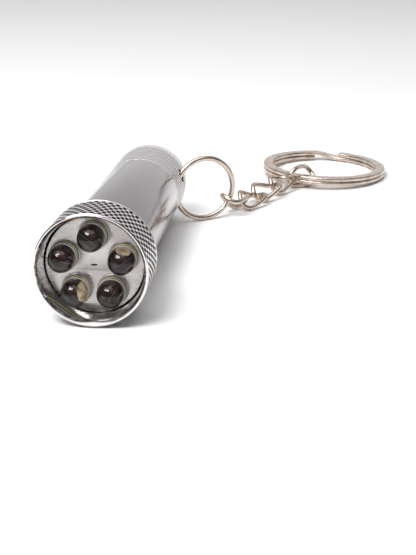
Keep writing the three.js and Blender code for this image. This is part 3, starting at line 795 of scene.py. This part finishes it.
def lead_post(name, side, width, top, matrix):
    """A flat stamped post of the lead frame, wider at its head, standing in the lamp's base."""
    half = 0.2
    line = [
        (0.25, top), (0.25 + width, top + 0.05), (0.25 + width * 1.5, top + 0.9), (1.45, 4.0), (1.5, 4.72),
        (1.05, 4.72), (1.0, 4.1), (0.55, top + 1.2), (0.2, top + 0.6),
    ]
    verts, faces = [], []
    for z in (-half, half):
        verts += [(side * x, s, z) for x, s in line]
    count = len(line)
    faces.append(tuple(range(count)))
    faces.append(tuple(reversed(range(count, 2 * count))))
    faces += [(i, (i + 1) % count, count + (i + 1) % count, count + i) for i in range(count)]
    post = build(name, verts, oriented(verts, faces), matrix, sharp=30)
    bevel(post, 0.05 * MM)
    return post


def bevel(obj, width):
    mesh = bmesh.new()
    mesh.from_mesh(obj.data)
    bmesh.ops.bevel(mesh, geom=list(mesh.edges), offset=width, segments=2, affect="EDGES", clamp_overlap=True)
    mesh.to_mesh(obj.data)
    mesh.free()


def module_ring():
    part = span("module_ring")
    outline = soften([
        (part.inner, part.front), (part.outer, part.front), (part.outer, part.back), (part.inner, part.back),
    ])
    obj = turned("module_ring_look", outline)
    finish_piece(obj, "head", BLACK_PLASTIC, "black_plastic", "module_ring")


def led_board():
    part = span("led_board")
    outline = soften([
        (0, part.front), (part.outer, part.front), (part.outer, part.back), (0, part.back),
    ], closed=False)
    obj = turned("led_board_look", outline, closed=False)
    finish_piece(obj, "head", BOARD, "board_green", "led_board")


def coil(name, node, turns, body, material, slot):
    """A compression spring with its end turns closed up."""
    part = span(node)
    first, last = part.front + SPRING_WIRE, part.back - SPRING_WIRE
    t = np.linspace(0, 1, turns * 40 + 1)
    climb = 0.15 * smoothstep(0, 1, t) + 0.85 * t
    angle = TAU * turns * t
    station = first + (last - first) * climb
    points = np.stack([SPRING_RADIUS * np.cos(angle), station, SPRING_RADIUS * np.sin(angle)], axis=1)
    normals = np.stack([np.cos(angle), 0 * angle, np.sin(angle)], axis=1)
    obj = swept(name, points, normals, round_section(SPRING_WIRE, 12), TORCH)
    finish_piece(obj, body, material, slot, node)


def seal(node, body):
    part = span(node, 32)
    middle = (part.front + part.back) / 2
    radius, half = (part.inner + part.outer) / 2, (part.outer - part.inner) / 2
    angles = np.linspace(0, TAU, 20, endpoint=False)
    outline = np.array([(radius + half * math.cos(a), middle + 1.35 * half * math.sin(a)) for a in angles])
    obj = turned(f"{node}_look", outline)
    finish_piece(obj, body, SEAL_RUBBER, "seal_rubber", node)


# ---- Barrel ----


def thread_line(start, end, radius, depth, pitch):
    """Outline points of a row of thread crests between two stations."""
    points = []
    count = int((end - start) / pitch)
    for k in range(count):
        s = start + k * pitch
        crest = [(radius, s + 0.4 * pitch, 0.06), (radius, s + 0.6 * pitch, 0.06)]
        points += [(radius - depth, s, 0.05), *crest]
    return points


def barrel():
    part = span("barrel")
    shoulder, cap_face = HEAD_LENGTH + 0.05, CAP_STATION - 0.05
    outline = soften([
        (BORE_RADIUS, part.front, 0.1),
        (FRONT_NECK_RADIUS - 0.25, part.front, 0.1),
        *thread_line(part.front + 0.1, 9.1, FRONT_NECK_RADIUS, 0.25, 0.5),
        (FRONT_NECK_RADIUS, 9.2, 0.05),
        (FRONT_NECK_RADIUS - 0.6, 9.2, 0.05),
        (FRONT_NECK_RADIUS - 0.6, 10.2, 0.05),
        (FRONT_NECK_RADIUS, 10.2, 0.05),
        (FRONT_NECK_RADIUS, shoulder, 0.05),
        (BODY_RADIUS, shoulder, 0.15),
        (BODY_RADIUS, cap_face, 0.03),
        (REAR_NECK_RADIUS, cap_face, 0.05),
        (REAR_NECK_RADIUS, cap_face + 0.6, 0.05),
        (REAR_NECK_RADIUS - 0.6, cap_face + 0.6, 0.05),
        (REAR_NECK_RADIUS - 0.6, cap_face + 1.6, 0.05),
        (REAR_NECK_RADIUS, cap_face + 1.6, 0.05),
        *thread_line(cap_face + 1.9, part.back - 0.5, REAR_NECK_RADIUS, 0.25, 0.75),
        (REAR_NECK_RADIUS - 0.2, part.back, 0.1),
        (BORE_RADIUS, part.back, 0.1),
    ])
    obj = turned("barrel_look", outline, segments=192)
    finish_piece(obj, "barrel", BARREL_SATIN, "satin_barrel", "barrel")


def battery_sleeve():
    part = span("battery_sleeve", 24)
    outline = soften([
        (part.inner, part.front, 0.15), (part.outer, part.front, 0.2),
        (part.outer, part.front + 3), (part.outer - 0.15, part.front + 3.2),
        (part.outer - 0.15, part.back - 3.2), (part.outer, part.back - 3),
        (part.outer, part.back, 0.2), (part.inner, part.back, 0.15),
    ])
    obj = turned("battery_sleeve_look", outline, segments=96)
    finish_piece(obj, "battery_pack", WHITE_PLASTIC, "sleeve_plastic", "battery_sleeve")


def button_cell(i):
    node = f"button_cell_{i}"
    part = span(node, 24)
    outline = soften([
        (0, part.front), (part.outer - 1.3, part.front, 0.2), (part.outer - 1.0, part.front + 0.45, 0.1),
        (part.outer - 0.7, part.front + 0.5, 0.05), (part.outer - 0.6, part.front + 0.4, 0.05),
        (part.outer - 0.1, part.front + 0.6, 0.3), (part.outer, part.front + 1.1, 0.2),
        (part.outer, part.back - 0.3, 0.2), (part.outer - 0.3, part.back, 0.2),
        (1.6, part.back, 0.1), (1.4, part.back - 0.04, 0.1), (0, part.back - 0.04),
    ], closed=False)
    obj = turned(f"{node}_look", outline, segments=96, closed=False)
    finish_piece(obj, "battery_pack", CELL_CAN, "cell_can", node)


# ---- Tail ----


def loop_hole_places():
    """The middles of the two holes in the cap's wall, which the key loop's swing axis joins."""
    swing = JOINTS["loop_swing"]
    back = TORCH.inverted()
    middle = back @ Vector(swing["pos_m"])
    along = (back.to_3x3() @ Vector(swing["axis"])).normalized()
    wall = (BODY_RADIUS + COLLAR_BORE) / 2
    across = Vector((middle.x, 0, middle.z))
    flat = Vector((along.x, 0, along.z))
    b, c = across.dot(flat), across.length_squared - wall * wall
    reach = math.sqrt(b * b - flat.length_squared * c)
    return [middle + along * ((sign * reach - b) / flat.length_squared) for sign in (1, -1)]


def drill(name, place):
    """A cutter for one hole: a straight drill that opens a little at the cap's surface."""
    out = Vector((place.x, 0, place.z)).normalized()
    station = Vector((0, 1, 0))
    local = Matrix((station, out, station.cross(out))).transposed().to_4x4()
    origin = Vector((0, place.y, 0))
    outline = np.array([
        (0, COLLAR_BORE - 1.5), (LOOP_HOLE_RADIUS, COLLAR_BORE - 1.5), (LOOP_HOLE_RADIUS, BODY_RADIUS - 0.3),
        (LOOP_HOLE_RADIUS + 0.03, BODY_RADIUS - 0.1), (LOOP_HOLE_RADIUS + 0.12, BODY_RADIUS + 0.02),
        (LOOP_HOLE_RADIUS + 0.12, BODY_RADIUS + 1.5), (0, BODY_RADIUS + 1.5),
    ])
    return turned(name, outline, TORCH @ Matrix.Translation(origin) @ local, 48, closed=False)


def cut_out(obj, cutters):
    """Takes the cutters out of an object and removes them."""
    for cutter in cutters:
        step = obj.modifiers.new("cut", "BOOLEAN")
        step.operation = "DIFFERENCE"
        step.solver = "EXACT"
        step.object = cutter
    done = bpy.data.meshes.new_from_object(obj.evaluated_get(bpy.context.evaluated_depsgraph_get()))
    obj.modifiers.clear()
    obj.data = done
    for cutter in cutters:
        bpy.data.objects.remove(cutter)


def refresh_part_mm(obj, matrix):
    mesh = obj.data
    own = own_places(mesh, matrix).astype(np.float32)
    if "part_mm" in mesh.attributes:
        mesh.attributes.remove(mesh.attributes["part_mm"])
    mesh.attributes.new("part_mm", "FLOAT_VECTOR", "POINT").data.foreach_set("vector", own.ravel())


def tail_cap():
    web_end = WEB_STATION + WEB_THICKNESS
    outline = soften([
        (THREAD_BORE_CAP, CAP_STATION, 0.05),
        (BODY_RADIUS, CAP_STATION, 0.03),
        *knurl_line(TAIL_KNURL, 0.12),
        (BODY_RADIUS, TOTAL_LENGTH - 0.9, 0.05),
        (BODY_RADIUS, TOTAL_LENGTH - 0.35, 0.2),
        (BODY_RADIUS - 0.3, TOTAL_LENGTH, 0.2),
        (COLLAR_BORE, TOTAL_LENGTH, 0.15),
        (COLLAR_BORE, web_end, 0.15),
        (BUTTON_HOLE_RADIUS, web_end, 0.12),
        (BUTTON_HOLE_RADIUS, WEB_STATION, 0.05),
        (THREAD_BORE_CAP, WEB_STATION, 0.1),
    ])
    obj = turned("tail_cap_look", outline, segments=TAIL_KNURL.count * 8, relief=knurl_relief(TAIL_KNURL))
    cut_out(obj, [drill(f"drill_{k}", place) for k, place in enumerate(loop_hole_places())])
    refresh_part_mm(obj, TORCH)
    mark_pits(obj, TAIL_KNURL, TORCH)
    obj.data.shade_smooth()
    obj.data.set_sharp_from_angle(angle=math.radians(50))
    finish_piece(obj, "tail_cap", TAIL_METAL, "tail_metal", "tail_cap")


def switch_body():
    part = span("switch_body", 24)
    flange = part.back - 0.9
    outline = soften([
        (0, part.front), (SWITCH_RADIUS - 1.3, part.front, 0.3), (SWITCH_RADIUS, part.front + 0.8, 0.3),
        (SWITCH_RADIUS, flange, 0.1), (part.outer, flange, 0.1), (part.outer, part.back, 0.1),
        (SWITCH_CUP_RADIUS, part.back, 0.1), (SWITCH_CUP_RADIUS, SWITCH_CUP_STATION, 0.1),
        (PLUNGER_HOLE_RADIUS, SWITCH_CUP_STATION, 0.05), (PLUNGER_HOLE_RADIUS, PLUNGER_HOLE_STATION, 0.05),
        (0, PLUNGER_HOLE_STATION),
    ], closed=False)
    obj = turned("switch_body_look", outline, segments=96, closed=False)
    finish_piece(obj, "switch", BLACK_PLASTIC, "black_plastic", "switch_body")


def switch_plunger():
    part = span("switch_plunger", 24)
    outline = soften([
        (0, part.front), (part.outer, part.front, 0.2), (part.outer, part.back, 0.2), (0, part.back),
    ], closed=False)
    obj = turned("switch_plunger_look", outline, segments=48, closed=False)
    finish_piece(obj, "button", WHITE_PLASTIC, "sleeve_plastic", "switch_plunger")


def push_button():
    part = span("push_button", 24)
    flange_end = part.front + 1.2
    end = part.back
    outline = soften([
        (0, part.front), (BUTTON_FLANGE_RADIUS, part.front, 0.15), (BUTTON_FLANGE_RADIUS, flange_end, 0.1),
        (BUTTON_RADIUS, flange_end, 0.1), (BUTTON_RADIUS, end - 0.9, 0.6),
        (BUTTON_RADIUS - 0.9, end - 0.18, 0.4), (BUTTON_RADIUS - 1.25, end - 0.14, 0.1),
        (BUTTON_RADIUS - 1.4, end - 0.3, 0.08), (BUTTON_RADIUS - 1.6, end - 0.3, 0.08),
        (BUTTON_RADIUS - 1.75, end - 0.08, 0.1), (0, end),
    ], closed=False)
    obj = turned("push_button_look", outline, segments=96, closed=False)
    finish_piece(obj, "button", BUTTON_RUBBER, "button_rubber", "push_button")


# ---- Key loop, chain and split ring ----


def key_loop():
    _, _, z, middle = principal_frame("key_loop")
    normal = z if z.y < 0 else -z
    level = Vector((0, 0, 1)).cross(normal).normalized()
    if level.x < 0:
        level = -level
    matrix = axes_matrix(level, normal.cross(level), normal, middle)
    count = 160
    angle = -math.pi + TAU * np.arange(count) / count
    out = np.stack([np.cos(angle), np.sin(angle), 0 * angle], axis=1)
    gap = np.minimum(np.arange(count), count - np.arange(count))
    scale = 1 - 0.12 * (gap == 0)
    section = round_section(LOOP_WIRE)
    obj = swept("key_loop_look", LOOP_RADIUS * out, out, section, matrix, closed=True, scale=scale)
    finish_piece(obj, "key_loop", NICKEL, "nickel_wire", "key_loop")


def link_line(count):
    """The middle line of a twisted link, and the way out of its loop at each point."""
    bend = LINK_WIDTH / 2 - LINK_WIRE
    straight = LINK_LENGTH / 2 - LINK_WIRE - bend
    arc = math.pi * bend
    total = 4 * straight + 2 * arc
    points = []
    for d in np.arange(count) * total / count:
        if d < straight:
            x, y = d, bend
        elif d < straight + arc:
            a = (d - straight) / bend
            x, y = straight + bend * math.sin(a), bend * math.cos(a)
        elif d < 3 * straight + arc:
            x, y = 2 * straight + arc - d, -bend
        elif d < 3 * straight + 2 * arc:
            a = (d - 3 * straight - arc) / bend
            x, y = -straight - bend * math.sin(a), -bend * math.cos(a)
        else:
            x, y = d - total, bend
        twist = math.radians(LINK_TWIST) * x / (straight + bend)
        points.append((x, y * math.cos(twist), y * math.sin(twist)))
    return np.array(points)


def chain_link(i):
    node = f"chain_link_{i}"
    x, y, z, middle = principal_frame(node)
    matrix = axes_matrix(x, y, z, middle)
    count = 120
    points = link_line(count)
    step = np.arange(count)
    gap = np.minimum(step, count - step)
    scale = 1 - 0.1 * (gap == 0)
    out = points.copy() + np.array([0, 0, 1e-3])
    obj = swept(f"{node}_look", points, out, round_section(LINK_WIRE_SHOWN), matrix, closed=True, scale=scale)
    finish_piece(obj, node, NICKEL, "nickel_wire", node)


def band_section(width, thickness, rounding, steps=4):
    """A flat wire's section with rounded edges: (across the ring, along its axis) points."""
    points = []
    for cx, cy, start in ((1, 1, 0), (-1, 1, 90), (-1, -1, 180), (1, -1, 270)):
        for k in range(steps + 1):
            a = math.radians(start + 90 * k / steps)
            x = cx * (width / 2 - rounding) + rounding * math.cos(a)
            y = cy * (thickness / 2 - rounding) + rounding * math.sin(a)
            points.append((x, y))
    return points


def split_ring():
    _, _, z, middle = principal_frame("split_ring")
    up = z if z.z > 0 else -z
    bearing = math.radians(SPLIT_STEP_BEARING)
    step_way = Vector((math.cos(bearing), math.sin(bearing), 0))
    step_way = (step_way - up * step_way.dot(up)).normalized()
    matrix = axes_matrix(step_way, up.cross(step_way), up, middle)
    half = math.radians(SPLIT_STEP_HALF_ANGLE)
    first = half + math.radians(SPLIT_END_CLEARANCE)
    count = 420
    angle = np.linspace(first, 2 * TAU - first, count)
    climb = smoothstep(TAU - half, TAU + half, angle) - 0.5
    out = np.stack([np.cos(angle), np.sin(angle), 0 * angle], axis=1)
    points = SPLIT_RADIUS * out + SPLIT_LAYER_PITCH * climb[:, None] * np.array([0, 0, 1])
    section = band_section(SPLIT_BAND_WIDTH, SPLIT_BAND_THICKNESS, 0.3)
    ends = np.minimum(np.arange(count), count - 1 - np.arange(count))
    scale = 1 - 0.10 * np.clip(1 - ends / 3, 0, 1) ** 2
    obj = swept("split_ring_look", points, out, section, matrix, scale=scale)
    finish_piece(obj, "split_ring", RING_NICKEL, "ring_steel", "split_ring")


# ---- Build ----

head_bezel()
reflector_plate()
for lamp_name, number, _, _, lamp_frame in led_places():
    led(lamp_name, number, lamp_frame)
module_ring()
led_board()
coil("front_spring_look", "front_spring", 5, "head", SPRING_BRASS, "spring_brass")
seal("head_oring", "barrel")
barrel()
battery_sleeve()
for number in range(1, 5):
    button_cell(number)
coil("rear_spring_look", "rear_spring", 6, "switch", SPRING_STEEL, "spring_steel")
seal("tail_oring", "barrel")
switch_body()
switch_plunger()
push_button()
tail_cap()
key_loop()
for number in range(1, 6):
    chain_link(number)
split_ring()

# ---- Floor, light and camera ----


def floor():
    verts = [(-1.5, -1.5, 0), (1.5, -1.5, 0), (1.5, 1.5, 0), (-1.5, 1.5, 0)]
    mesh = bpy.data.meshes.new("floor")
    mesh.from_pydata(verts, [], [(0, 1, 2, 3)])
    obj = bpy.data.objects.new("floor", mesh)
    mesh.materials.append(floor_paint())
    bpy.context.scene.collection.objects.link(obj)


def aimed(obj, place, target):
    obj.location = place
    obj.rotation_euler = (Vector(target) - Vector(place)).to_track_quat("-Z", "Y").to_euler()
    bpy.context.scene.collection.objects.link(obj)


def way_out(azimuth, elevation):
    """The way out to a place round the torch. Azimuth 0 is in front, on -Y, and 90 is on its right."""
    a, e = math.radians(azimuth), math.radians(elevation)
    return Vector((math.sin(a) * math.cos(e), -math.cos(a) * math.cos(e), math.sin(e)))


def softbox(name, azimuth, elevation, distance, width, height, power):
    lamp = bpy.data.lights.new(name, "AREA")
    lamp.shape = "RECTANGLE"
    lamp.size = width
    lamp.size_y = height
    lamp.energy = power
    aimed(bpy.data.objects.new(name, lamp), way_out(azimuth, elevation) * distance, (0, 0, 0))


def studio_world():
    """A dim warm room in front of the torch, which grows pale towards the back."""
    world = bpy.data.worlds.new("studio")
    bpy.context.scene.world = world
    world.use_nodes = True
    tree = world.node_tree
    shade = tree.nodes["Background"]
    way = tree.nodes.new("ShaderNodeTexCoord")
    split = tree.nodes.new("ShaderNodeSeparateXYZ")
    tree.links.new(way.outputs["Generated"], split.inputs[0])
    depth = tree.nodes.new("ShaderNodeMapRange")
    depth.inputs["From Min"].default_value = -1
    tree.links.new(split.outputs["Y"], depth.inputs["Value"])
    band = tree.nodes.new("ShaderNodeValToRGB")
    stops = [
        (0.0, (0.05, 0.042, 0.038)), (0.3, (0.10, 0.09, 0.082)), (0.65, (0.34, 0.33, 0.33)),
        (1.0, (0.88, 0.865, 0.87)),
    ]
    while len(band.color_ramp.elements) < len(stops):
        band.color_ramp.elements.new(0.5)
    for element, (position, colour) in zip(band.color_ramp.elements, stops):
        element.position = position
        element.color = (*colour, 1)
    tree.links.new(depth.outputs[0], band.inputs[0])
    tree.links.new(band.outputs[0], shade.inputs["Color"])
    shade.inputs["Strength"].default_value = 1.0


CAMERA_AZIMUTH = 6.5
CAMERA_ELEVATION = 20.51
CAMERA_DISTANCE = 211.26 * MM
CAMERA_LENS = 76.54
AIM_FROM_FRONT = Vector((21.5, 0, -0.28)) * MM


def camera():
    target = FRONT + AIM_FROM_FRONT
    lens = bpy.data.cameras.new("camera")
    lens.lens = CAMERA_LENS
    lens.sensor_width = 36
    lens.clip_start = 0.01
    lens.clip_end = 20
    obj = bpy.data.objects.new("camera", lens)
    aimed(obj, target + way_out(CAMERA_AZIMUTH, CAMERA_ELEVATION) * CAMERA_DISTANCE, target)
    bpy.context.scene.camera = obj


floor()
studio_world()
softbox("key_light", -30, 50, 0.55, 0.30, 0.16, 2.7)
softbox("left_light", -70, 62, 0.7, 0.5, 0.5, 0.8)
softbox("top_light", 0, 82, 0.6, 0.6, 0.6, 2.0)
camera()
bpy.context.scene.view_settings.view_transform = "Standard"
